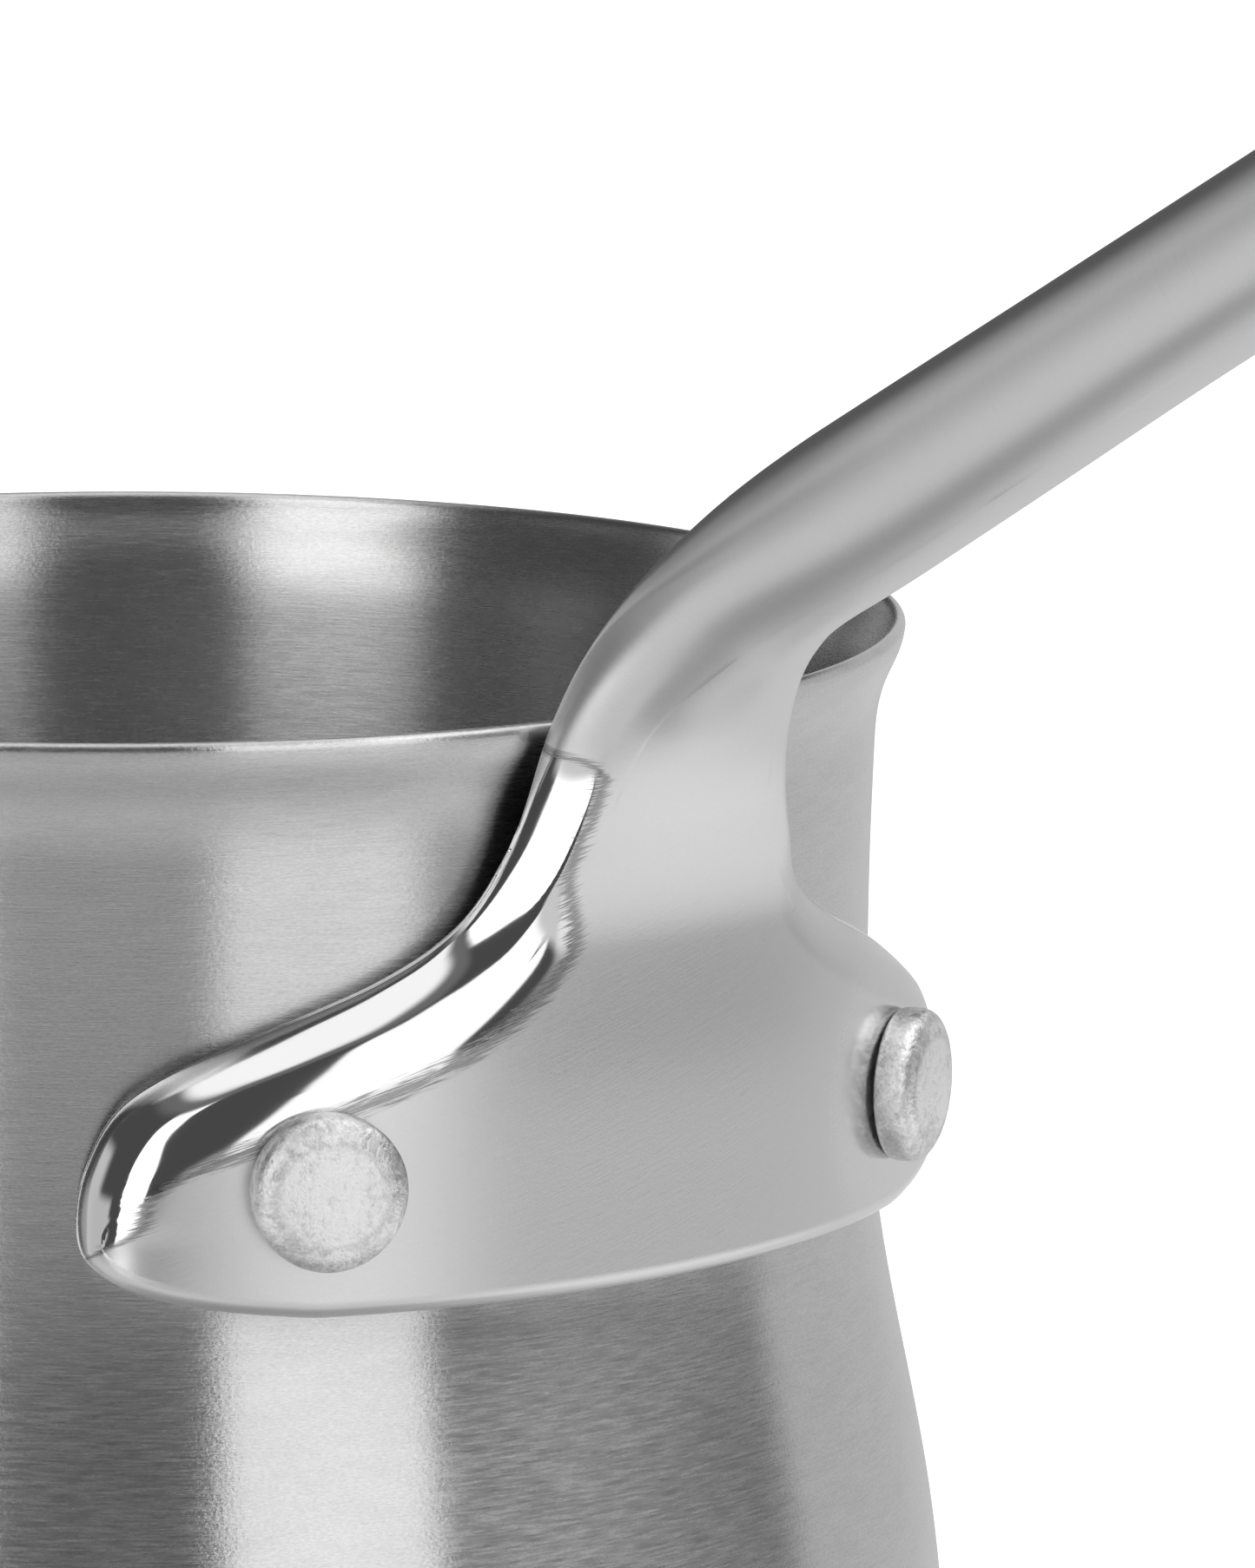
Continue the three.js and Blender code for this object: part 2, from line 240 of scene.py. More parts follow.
def settle(obj):
    """Bakes every modifier into a plain mesh that keeps the object's name."""
    dg = bpy.context.evaluated_depsgraph_get()
    mesh = bpy.data.meshes.new_from_object(obj.evaluated_get(dg), preserve_all_data_layers=True,
                                           depsgraph=dg)
    old = obj.data
    obj.modifiers.clear()
    obj.data = mesh
    mesh.name = obj.name
    bpy.data.meshes.remove(old)
    mesh.polygons.foreach_set("use_smooth", [True] * len(mesh.polygons))
    mesh.update()


def finish_piece(obj, material, nodes):
    obj.data.materials.clear()
    obj.data.materials.append(material)
    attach(obj, "root")
    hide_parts(*nodes)


# ---- node helpers ------------------------------------------------------------------------------------

class Tree:
    """Short calls for building a node tree."""

    def __init__(self, tree):
        self.tree = tree

    def node(self, kind, **settings):
        n = self.tree.nodes.new(kind)
        for key, value in settings.items():
            setattr(n, key, value)
        return n

    def put(self, value, socket):
        if isinstance(value, bpy.types.NodeSocket):
            self.tree.links.new(value, socket)
        elif value is not None:
            socket.default_value = value

    def math(self, op, a, b=None, c=None):
        n = self.node("ShaderNodeMath", operation=op)
        for value, socket in zip((a, b, c), n.inputs):
            self.put(value, socket)
        return n.outputs[0]

    def plus(self, a, b):
        return self.math("ADD", a, b)

    def minus(self, a, b):
        return self.math("SUBTRACT", a, b)

    def times(self, a, b):
        return self.math("MULTIPLY", a, b)

    def scaled(self, a, b, c):
        """a times b, plus c."""
        return self.math("MULTIPLY_ADD", a, b, c)

    def vector(self, op, a, b=None, scale=None):
        n = self.node("ShaderNodeVectorMath", operation=op)
        self.put(a, n.inputs[0])
        if b is not None:
            self.put(b, n.inputs[1])
        if scale is not None:
            self.put(scale, n.inputs["Scale"])
        return n.outputs["Value"] if op in {"DOT_PRODUCT", "LENGTH"} else n.outputs["Vector"]

    def combine(self, x, y, z):
        n = self.node("ShaderNodeCombineXYZ")
        for value, socket in zip((x, y, z), n.inputs):
            self.put(value, socket)
        return n.outputs[0]

    def separate(self, vector):
        n = self.node("ShaderNodeSeparateXYZ")
        self.put(vector, n.inputs[0])
        return n.outputs

    def span(self, value, low, high):
        """Zero at low and one at high, with a smooth change between them."""
        n = self.node("ShaderNodeMapRange", interpolation_type="SMOOTHSTEP")
        for v, key in ((value, "Value"), (low, "From Min"), (high, "From Max")):
            self.put(v, n.inputs[key])
        return n.outputs["Result"]

    def lerp(self, factor, a, b):
        n = self.node("ShaderNodeMix", data_type="FLOAT")
        self.put(factor, n.inputs["Factor"])
        self.put(a, n.inputs[2])
        self.put(b, n.inputs[3])
        return n.outputs[0]

    def noise(self, vector, scale, detail=2.0, rough=0.5, distortion=0.0):
        n = self.node("ShaderNodeTexNoise")
        for value, key in ((vector, "Vector"), (scale, "Scale"), (detail, "Detail"), (rough, "Roughness"),
                           (distortion, "Distortion")):
            self.put(value, n.inputs[key])
        return n.outputs["Fac"]

    def bump(self, height, strength, distance):
        n = self.node("ShaderNodeBump")
        for value, key in ((strength, "Strength"), (distance, "Distance"), (height, "Height")):
            self.put(value, n.inputs[key])
        return n.outputs["Normal"]


def new_group(name, inputs, outputs):
    group = bpy.data.node_groups.new(name, "ShaderNodeTree")
    for label, kind, default in inputs:
        s = group.interface.new_socket(name=label, in_out="INPUT", socket_type=kind)
        if default is not None:
            s.default_value = default
    for label, kind in outputs:
        group.interface.new_socket(name=label, in_out="OUTPUT", socket_type=kind)
    return group


def brush_group():
    """Fine brush lines: long in X and Y of the given vector, closely spaced in its Z."""
    name = "Brush Lines"
    if name in bpy.data.node_groups:
        return bpy.data.node_groups[name]
    group = new_group(name, [("Vector", "NodeSocketVector", None), ("Spacing", "NodeSocketFloat", 0.00016),
                             ("Length", "NodeSocketFloat", 0.007)],
                      [("Lines", "NodeSocketFloat"), ("Grain", "NodeSocketFloat"),
                       ("Broad", "NodeSocketFloat")])
    t = Tree(group)
    gin, gout = t.node("NodeGroupInput"), t.node("NodeGroupOutput")
    x, y, z = t.separate(gin.outputs["Vector"])
    along = t.math("DIVIDE", 1.0, gin.outputs["Length"])
    across = t.math("DIVIDE", 1.0, gin.outputs["Spacing"])
    fine = t.combine(t.times(x, along), t.times(y, along), t.times(z, across))
    lines = t.noise(fine, 1.0, 3.0, 0.62)
    short = t.vector("MULTIPLY", fine, (7.0, 7.0, 1.7))
    grain = t.noise(short, 1.0, 2.0, 0.6)
    wide = t.vector("MULTIPLY", fine, (0.45, 0.45, 0.11))
    broad = t.noise(wide, 1.0, 3.0, 0.55)
    for value, key in ((lines, "Lines"), (grain, "Grain"), (broad, "Broad")):
        t.put(value, gout.inputs[key])
    return group


def wear_group():
    """Slow, cloudy change of a handled metal surface, and a fine speckle."""
    name = "Handling Marks"
    if name in bpy.data.node_groups:
        return bpy.data.node_groups[name]
    group = new_group(name, [("Vector", "NodeSocketVector", None), ("Size", "NodeSocketFloat", 0.02)],
                      [("Cloud", "NodeSocketFloat"), ("Speckle", "NodeSocketFloat")])
    t = Tree(group)
    gin, gout = t.node("NodeGroupInput"), t.node("NodeGroupOutput")
    near = t.vector("SCALE", gin.outputs["Vector"], scale=t.math("DIVIDE", 1.0, gin.outputs["Size"]))
    t.put(t.noise(near, 1.0, 4.0, 0.55, 0.4), gout.inputs["Cloud"])
    t.put(t.noise(near, 90.0, 2.0, 0.6), gout.inputs["Speckle"])
    return group


def use_group(t, group, **values):
    n = t.node("ShaderNodeGroup", node_tree=group)
    for key, value in values.items():
        t.put(value, n.inputs[key])
    return n.outputs


def new_material(name):
    m = bpy.data.materials.get(name)
    if m:
        return m, None, None
    m = bpy.data.materials.new(name)
    m.use_nodes = True
    t = Tree(m.node_tree)
    m.node_tree.nodes.clear()
    out, shader = t.node("ShaderNodeOutputMaterial"), t.node("ShaderNodeBsdfPrincipled")
    t.put(shader.outputs[0], out.inputs["Surface"])
    return m, t, shader


def ring_brushed(name, colour, rough, anisotropy, spacing, length, contrast=1.0):
    """Metal brushed round the pot axis: sharp round the pot, smeared along its height."""
    m, t, shader = new_material(name)
    if t is None:
        return m
    place = t.node("ShaderNodeTexCoord").outputs["Object"]
    x, y, z = t.separate(place)
    r = t.math("SQRT", t.plus(t.times(x, x), t.times(y, y)))
    height = t.scaled(r, 1.3, z)
    brush = use_group(t, brush_group(), Vector=t.combine(x, y, height), Spacing=spacing, Length=length)
    marks = use_group(t, wear_group(), Vector=place, Size=0.022)
    lines = t.minus(brush["Lines"], 0.5)
    grain = t.minus(brush["Grain"], 0.5)
    broad = t.minus(brush["Broad"], 0.5)
    cloud = t.minus(marks["Cloud"], 0.5)
    tone = t.scaled(lines, 0.34 * contrast, 1.0)
    tone = t.scaled(grain, 0.42 * contrast, tone)
    tone = t.scaled(broad, 0.16 * contrast, tone)
    tone = t.scaled(cloud, 0.06, tone)
    t.put(t.vector("SCALE", (*colour,), scale=tone), shader.inputs["Base Color"])
    rr = t.scaled(lines, 0.20, rough)
    rr = t.scaled(cloud, 0.05, rr)
    t.put(rr, shader.inputs["Roughness"])
    relief = t.plus(t.times(brush["Lines"], 0.6), t.times(brush["Grain"], 0.4))
    relief = t.scaled(marks["Speckle"], 0.35, relief)
    t.put(t.bump(relief, 0.30, 0.00004), shader.inputs["Normal"])
    meridian = t.vector("CROSS_PRODUCT", t.combine(t.times(y, -1.0), x, 0.0),
                        t.node("ShaderNodeNewGeometry").outputs["Normal"])
    t.put(meridian, shader.inputs["Tangent"])
    shader.inputs["Metallic"].default_value = 1.0
    shader.inputs["Anisotropic"].default_value = anisotropy
    return m


def pot_steel(cfg):
    return ring_brushed("Pot Brushed Steel", tuple(cfg.steel), 0.255, 1.0, cfg.brush_spacing,
                        cfg.brush_length)


def cap_steel(cfg):
    return ring_brushed("Base Turned Steel", (0.56, 0.56, 0.56), 0.36, 0.8, cfg.brush_spacing * 2.2,
                        cfg.brush_length * 2, 0.8)


def core_metal(cfg):
    return ring_brushed("Core Aluminium", (0.78, 0.79, 0.80), 0.45, 0.4, cfg.brush_spacing * 2,
                        cfg.brush_length * 3, 0.6)


def handle_steel(cfg, rivet):
    """Satin brushed across the handle; the near shoulder, its edge and the bracket's back are a mirror."""
    m, t, shader = new_material("Handle Cast Steel")
    if t is None:
        return m
    uv = t.node("ShaderNodeUVMap", uv_map="Handle").outputs["UV"]
    u, v, _ = t.separate(uv)
    place = t.node("ShaderNodeTexCoord").outputs["Object"]
    lean = math.radians(18)
    along = t.plus(t.times(u, math.cos(lean)), t.times(v, math.sin(lean)))
    across = t.minus(t.times(v, math.cos(lean)), t.times(u, math.sin(lean)))
    brush = use_group(t, brush_group(), Vector=t.combine(along, 0.0, across), Spacing=0.00008,
                      Length=0.0022)
    marks = use_group(t, wear_group(), Vector=place, Size=0.016)
    lines = t.minus(brush["Lines"], 0.5)
    grain = t.minus(brush["Grain"], 0.5)
    cloud = t.minus(marks["Cloud"], 0.5)
    buffed = t.node("ShaderNodeAttribute", attribute_name="polish",
                    attribute_type="GEOMETRY").outputs["Fac"]
    ragged = t.scaled(lines, 1.15, buffed)
    mirror = t.span(ragged, 0.42, 0.60)
    satin = t.minus(1.0, mirror)
    tone = t.scaled(t.times(t.plus(lines, grain), satin), 0.10, 1.0)
    tone = t.scaled(cloud, 0.05, tone)
    # Painted shade: a dark band is painted into the base colour along the mirror's feathered limit, standing in for
    # a reflection of the dark studio there.
    painted_dark_band = t.times(t.span(ragged, 0.16, 0.40), t.minus(1.0, t.span(ragged, 0.50, 0.72)))
    tone = t.times(tone, t.scaled(painted_dark_band, -0.52, 1.0))
    t.put(t.vector("SCALE", (*tuple(cfg.cast),), scale=tone), shader.inputs["Base Color"])
    clean = t.minus(1.0, t.span(from_rivet(t, place, rivet), 0.0050, 0.0105))
    clean = t.times(clean, t.math("GREATER_THAN", t.separate(place)[1], 0.0))
    rough = t.lerp(clean, t.scaled(lines, 0.10, 0.35), 0.12)
    rough = t.lerp(mirror, rough, 0.08)
    rough = t.scaled(cloud, 0.05, rough)
    t.put(rough, shader.inputs["Roughness"])
    relief = t.plus(t.times(brush["Lines"], satin), t.times(marks["Speckle"], t.times(satin, 0.5)))
    t.put(t.bump(relief, 0.12, 0.00004), shader.inputs["Normal"])
    shader.inputs["Metallic"].default_value = 1.0
    return m


def from_rivet(t, place, rivet):
    """Distance from the nearer rivet's middle, seen along the handle."""
    _, y, z = t.separate(place)
    side = t.plus(t.math("ABSOLUTE", y), -(rivet.seat + rivet.head_height) * math.sin(rivet.angle))
    rise = t.plus(z, -rivet.height)
    return t.math("SQRT", t.plus(t.times(side, side), t.times(rise, rise)))


def rivet_steel(rivet):
    """Tumbled steel: matt, blotchy, finely pitted and ringed by the blow that closed it, with a painted highlight on
    the middle of the head.
    """
    m, t, shader = new_material("Rivet Tumbled Steel")
    if t is None:
        return m
    place = t.node("ShaderNodeTexCoord").outputs["Object"]
    marks = use_group(t, wear_group(), Vector=place, Size=0.0034)
    cloud = marks["Cloud"]
    pits = t.noise(place, 5600.0, 3.0, 0.65)
    dents = t.noise(place, 1900.0, 4.0, 0.65, 0.25)
    tone = t.plus(0.36, t.times(cloud, 0.60))
    tone = t.scaled(t.minus(pits, 0.5), 0.45, tone)
    tone = t.scaled(t.minus(dents, 0.5), 0.75, tone)
    reach = t.scaled(t.minus(dents, 0.5), 0.0011, from_rivet(t, place, rivet))
    rings = t.scaled(t.math("SINE", t.times(reach, 2 * math.pi / RIVET_RING)), 0.5, 0.5)
    rings = t.times(rings, t.span(reach, 0.0012, 0.0030))
    tone = t.scaled(t.times(rings, t.span(cloud, 0.35, 0.65)), -0.16, tone)
    # Painted highlight: the middle of the head is painted lighter than its rim.
    tone = t.scaled(t.span(reach, 0.0034, 0.0018), 0.10, tone)
    t.put(t.vector("SCALE", (1.28, 1.28, 1.28), scale=tone), shader.inputs["Base Color"])
    t.put(t.scaled(t.minus(dents, 0.5), 0.4, 0.42), shader.inputs["Roughness"])
    relief = t.scaled(dents, 1.6, pits)
    t.put(t.bump(relief, 0.55, 0.00008), shader.inputs["Normal"])
    shader.inputs["Metallic"].default_value = 1.0
    return m


# ---- pot body ----------------------------------------------------------------------------------------

# Outside of the pot in millimetres [r, z]: heel, belly, neck, flared lip.
POT_OUTSIDE = [
    (35.6, 5.4), (38.3, 5.95), (41.0, 7.35), (43.35, 9.9), (45.0, 13.3), (46.05, 18.0), (46.36, 23.5),
    (46.15, 29.5),
    (45.6, 36.0), (44.85, 42.4), (43.75, 48.5), (42.65, 53.9), (41.85, 58.6), (41.35, 63.5), (41.12, 69.5),
    (41.12, 75.5), (41.22, 80.5), (41.36, 84.4), (41.56, 86.9), (42.0, 88.55), (42.52, 89.72),
    (42.88, 90.65),
    (43.0, 91.25),
]


def pot_profile(wall):
    outside = Path(POT_OUTSIDE)
    s = np.concatenate([np.linspace(0, 14, 34), np.linspace(14, outside.length - 9, 92)[1:],
                        np.linspace(outside.length - 9, outside.length, 42)[1:]])
    outer = outside.at(s)
    tangent = outside.at(np.minimum(s + 0.05, outside.length)) - outside.at(np.maximum(s - 0.05, 0))
    tangent /= np.linalg.norm(tangent, axis=1)[:, None]
    inner = outer + wall * np.stack([-tangent[:, 1], tangent[:, 0]], 1)
    tip, side = outer[-1], tangent[-1]
    middle = tip + wall / 2 * np.array([-side[1], side[0]])
    lip = []
    for a in np.linspace(0, math.pi, 12)[1:-1]:
        across = math.cos(a) * np.array([side[1], -side[0]]) + math.sin(a) * np.array([side[0],
                                                                                       side[1]]) * 1.15
        lip.append(middle + across * wall / 2)
    floor_out = [(r, 5.4) for r in (0, 4, 8, 12, 16, 20, 24, 28, 32, 34.4)]
    floor_in = [(r, 5.4 + wall) for r in (34.4, 32, 28, 24, 20, 16, 12, 8, 4, 0)]
    return [*floor_out, *map(tuple, outer), *map(tuple, lip), *map(tuple, inner[::-1]), *floor_in]


def shape_lip(verts, cfg):
    """Draws the rim out into a pouring lip on the -Y side."""
    r = np.hypot(verts[:, 0], verts[:, 1])
    away = np.abs(np.arctan2(verts[:, 0], -verts[:, 1]))
    depth = cfg.spout_depth
    up = np.clip((verts[:, 2] - RIM_TOP + depth) / depth, 0, None) ** 1.8
    across = 1 - smooth_step(0, cfg.spout_half_width, away)
    k = np.where(r > 0.001, (r + cfg.spout_reach * across * up) / np.maximum(r, 1e-9), 1)
    verts[:, 0] *= k
    verts[:, 1] *= k
    verts[:, 2] += cfg.spout_lift * across * up
    return verts


class CEZVE_OT_pot(bpy.types.Operator):
    """Spin the pot's shell with its flared rim and pouring lip"""
    bl_idname = "cezve.pot"
    bl_label = "Pot Body"

    def execute(self, context):
        cfg, finish = context.scene.cezve_pot, context.scene.cezve_finish
        profile = [(r * MM, z * MM) for r, z in pot_profile(cfg.wall / MM)]
        verts, faces = lathe(profile, cfg.segments)
        pot = new_object("pot_shell", shape_lip(verts, cfg), faces)
        fix_normals(pot)
        finish_piece(pot, pot_steel(finish), ["pot_body"])
        return {"FINISHED"}


# ---- base --------------------------------------------------------------------------------------------

class CEZVE_OT_base(bpy.types.Operator):
    """Make the base cap and finish the core disc inside it"""
    bl_idname = "cezve.base"
    bl_label = "Encapsulated Base"

    def execute(self, context):
        cfg, finish = context.scene.cezve_pot, context.scene.cezve_finish
        r, top, sheet = cfg.foot_radius / MM, FOOT[1][2] / MM, 0.7
        outer = [(0, 0), (10, 0), (20, 0), (28, 0), (32, 0), (r - 1.25, 0)]
        outer += [(r - 1.25 + 1.25 * math.sin(a), 1.25 - 1.25 * math.cos(a)) for a in np.linspace(0.15,
                                                                                                  math.pi / 2, 9)]
        outer += [(r, 2.2), (r, 3.4), (r, 4.5), (r - 0.03, top - 0.18), (r - 0.15, top),
                  (r - sheet + 0.12, top),
                  (r - sheet, top - 0.15)]
        inner = [(r - sheet, 3.4), (r - sheet, 1.5), (r - sheet - 0.25, 0.95), (r - sheet - 0.7, sheet),
                 (28, sheet),
                 (14, sheet), (0, sheet)]
        verts, faces = lathe([(a * MM, b * MM) for a, b in outer + inner], 240)
        cap = new_object("base_cap_turned", verts, faces)
        fix_normals(cap)
        finish_piece(cap, cap_steel(finish), ["base_cap"])
        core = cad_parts["base_core"]
        metal = core_metal(finish)
        for slot in core.material_slots:
            slot.material = metal
        return {"FINISHED"}


# ---- handle ------------------------------------------------------------------------------------------

class HandleForm:
    """The handle as heights over a flat outline (x across, s along the centre line), in millimetres."""

    def __init__(self, cfg):
        self.radius, bottom, slope = cfg.bracket_radius / MM, cfg.bracket_bottom / MM, cfg.slope
        reach = cfg.reach / MM

        def stick(r):
            return r, 108.9 + (r - 66.4) * math.tan(slope)
        self.centre = Path([(self.radius, bottom), (self.radius, 68), (self.radius, 74), (43.6, 80),
                            (43.65, 85),
                            (44.3, 90), (46.3, 95), (50.3, 99.5), (56.7, 103.4), stick(61), stick(70),
                            stick(82),
                            stick(110), stick(reach)])
        self.end = e = self.centre.length
        self.paddle = p = e - 34
        self.half_width = monotone([
            (0, 20.8), (0.5, 25.1), (1.2, 28.7), (2.2, 31.3), (3.5, 32.8), (5, 33.0), (6.5, 32.8),
            (8, 32.3), (9.5, 31.6),
            (11, 30.5), (12.5, 28.4), (14, 25.1), (15.5, 20.9), (17, 16.7), (18.5, 13.6), (20, 11.6),
            (22.5, 9.8),
            (26, 8.4), (31, 7.5), (37, 6.2), (45, 5.1), (56, 4.4), (75, 4.2), (p, 3.9), (e - 18, 6.6),
            (e - 7, 7)])
        self.front_height = monotone([(0, 1.45), (12, 1.45), (18, 1.5), (24, 2.15), (30, 3.3), (38, 4.6),
                                      (50, 4.7),
                                      (75, 4.25), (p, 3.9), (e - 14, 2.3), (e, 2.2)])
        self.back_height = monotone([(0, 1.95), (12, 1.9), (18, 1.5), (24, 1.05), (30, 1.1), (38, 3.1),
                                     (50, 4.2),
                                     (75, 4.2), (p, 3.9), (e - 14, 2.3), (e, 2.2)])
        self.roundness = monotone([(0, 0), (18, 0), (22, 0.05), (26, 0.3), (29, 0.72), (33, 0.92), (40, 1),
                                   (p, 1), (e - 14, 0.55), (e, 0.5)])
        self.wrap = monotone([(0, 1), (18, 1), (26, 0.75), (36, 0.3), (48, 0), (60, 0)])
        self.outline = self.trace_outline()
        step = np.diff(self.outline, axis=0)
        self.run = np.concatenate([[0], np.cumsum(np.linalg.norm(step, axis=1))])
        direction = step / np.linalg.norm(step, axis=1)[:, None]
        direction = np.concatenate([direction, direction[-1:]])
        self.direction = direction
        self.outward = np.stack([direction[:, 1], -direction[:, 0]], 1)

    def trace_outline(self):
        """Half outline in even steps, from the middle of the lower edge to the middle of the far end."""
        e = self.end
        s = np.concatenate([np.linspace(0, 20, 400), np.linspace(20, e - 7, 700)[1:]])
        side = np.stack([self.half_width(s), s], 1)
        a = np.linspace(0, math.pi / 2, 60)[1:]
        cap = np.stack([7 * np.cos(a), e - 7 + 7 * np.sin(a)], 1)
        raw = np.concatenate([[(0, 0)], side, cap])
        run = np.concatenate([[0], np.cumsum(np.linalg.norm(np.diff(raw, axis=0), axis=1))])
        q = np.arange(0, run[-1], 0.05)
        p = np.stack([np.interp(q, run, raw[:, 0]), np.interp(q, run, raw[:, 1])], 1)
        mirror = p[1:201][::-1] * (-1, 1)
        far = p[-201:-1][::-1] * (-1, 1)
        long = np.concatenate([mirror, p, far])
        window = np.hanning(35)
        window /= window.sum()
        soft = np.stack([np.convolve(long[:, k], window, "same") for k in (0, 1)], 1)[200:200 + len(p)]
        soft[0, 0] = 0
        soft[-1, 0] = 0
        return soft

    def nearest(self, x, s):
        """Distance to the outline, and the lengthways part of its outward normal near there."""
        x, s = np.abs(np.ravel(x)), np.ravel(s)
        tree = point_tree([(a, b, 0) for a, b in self.outline])
        k = np.array([tree.find((a, b, 0))[1] for a, b in zip(x, s)], int)
        off = np.stack([x, s], 1) - self.outline[k]
        along = (off * self.direction[k]).sum(1)
        q = np.clip(self.run[k] + along, 0, self.run[-1])
        foot = np.stack([np.interp(q, self.run, self.outline[:, c]) for c in (0, 1)], 1)
        return np.hypot(x - foot[:, 0], s - foot[:, 1]), self.facing(x, s)

    def facing(self, x, s):
        shape = np.shape(x)
        x, s = np.abs(np.ravel(x)), np.ravel(s)
        window = np.hanning(261) / np.hanning(261).sum()
        up = np.convolve(np.pad(self.outward[:, 1], 130, mode="reflect"), window, "valid")
        edge, up = self.outline[::6], up[::6]
        value = np.empty(len(x))
        for i in range(0, len(x), 2000):
            gap = (edge[None, :, 0] - x[i:i + 2000, None]) ** 2 + (edge[None, :, 1] - s[i:i + 2000,
                                                                                        None]) ** 2
            weight = 1 / (gap ** 2 + 1e-4)
            value[i:i + 2000] = (weight * up).sum(1) / weight.sum(1)
        return value.reshape(shape)

    def bands(self, s, up):
        """How far an edge is the broad kind, and the widths of its outer bevel and inner shoulder."""
        broad = smooth_step(-1.0, -0.1, up)
        neck = smooth_step(18, 25, s)
        return broad, 1.95 - 0.4 * neck, 2.35 * (1 - 0.9 * smooth_step(17.5, 23, s))

    def heights(self, x, s, plate=None, up=None):
        """Front and back heights over the middle surface."""
        w, ho, hi, b = self.half_width(s), self.front_height(s), self.back_height(s), self.roundness(s)
        if plate is None:
            plate, up = self.nearest(x, s)
        up = up * (1 - smooth_step(40, 60, s))
        broad, bevel_width, shoulder = self.bands(s, up)
        broad = broad * (1 - smooth_step(30, 50, s))
        narrow = np.maximum(0, w - np.abs(x))
        tip = s > self.end - 9
        across = np.where(tip, plate, narrow)
        d = mix(plate, across, smooth_step(30, 55, s))

        def arc(v):
            return np.sqrt(np.maximum(0, 1 - (1 - np.minimum(1, v)) ** 2))

        def ease(v):
            return 1 - (1 - np.clip(v, 0, 1)) ** 2
        round_part = arc(across / np.maximum(w, 1e-6))
        foot = 0.72 + 0.2 * broad
        crease = 0.34 * (1 - b) + 1e-6
        roll = 1 - np.sqrt(np.maximum(0, 1 - np.maximum(0, 1 - d / crease) ** 2))
        thin = ho * mix(0.6, 1, ease(d / 0.9))
        drop = 0.62 * (1 - 0.8 * smooth_step(17.5, 23, s))
        v = np.clip(d / bevel_width, 0, 1)
        low = -hi * foot + 0.28
        curl = 0.38 - 0.28 * smooth_step(17, 22, s)
        slope = low + (ho - drop - low) * ((1 + curl) * v - curl * v * v)
        full = np.where(d < bevel_width, slope, ho - drop * (1 - ease((d - bevel_width) / shoulder)))
        front = mix(mix(thin, full, broad), ho * round_part, b)
        back = hi * mix(mix(foot, 1, ease(d / 0.5)), round_part, smooth_step(26, 42, s) * b)
        return front - crease * roll, back - 0.6 * crease * roll

    def place(self, x, height, s):
        """Bends flat coordinates round the pot and along the centre line, in millimetres."""
        p = self.centre.at(s)
        q = self.centre.at(np.minimum(self.end, s + 0.05)) - self.centre.at(np.maximum(0, s - 0.05))
        q /= np.linalg.norm(q, axis=-1)[..., None]
        k = np.maximum(self.wrap(s) / self.radius, 1e-7)
        side = np.sin(k * x) * (1 / k + height)
        out = np.where(k > 1e-6, np.cos(k * x) * (1 / k + height) - 1 / k, height)
        side = np.where(k > 1e-6, side, x)
        return np.stack([p[..., 0] + out * q[..., 1], side, p[..., 1] - out * q[..., 0]], -1)


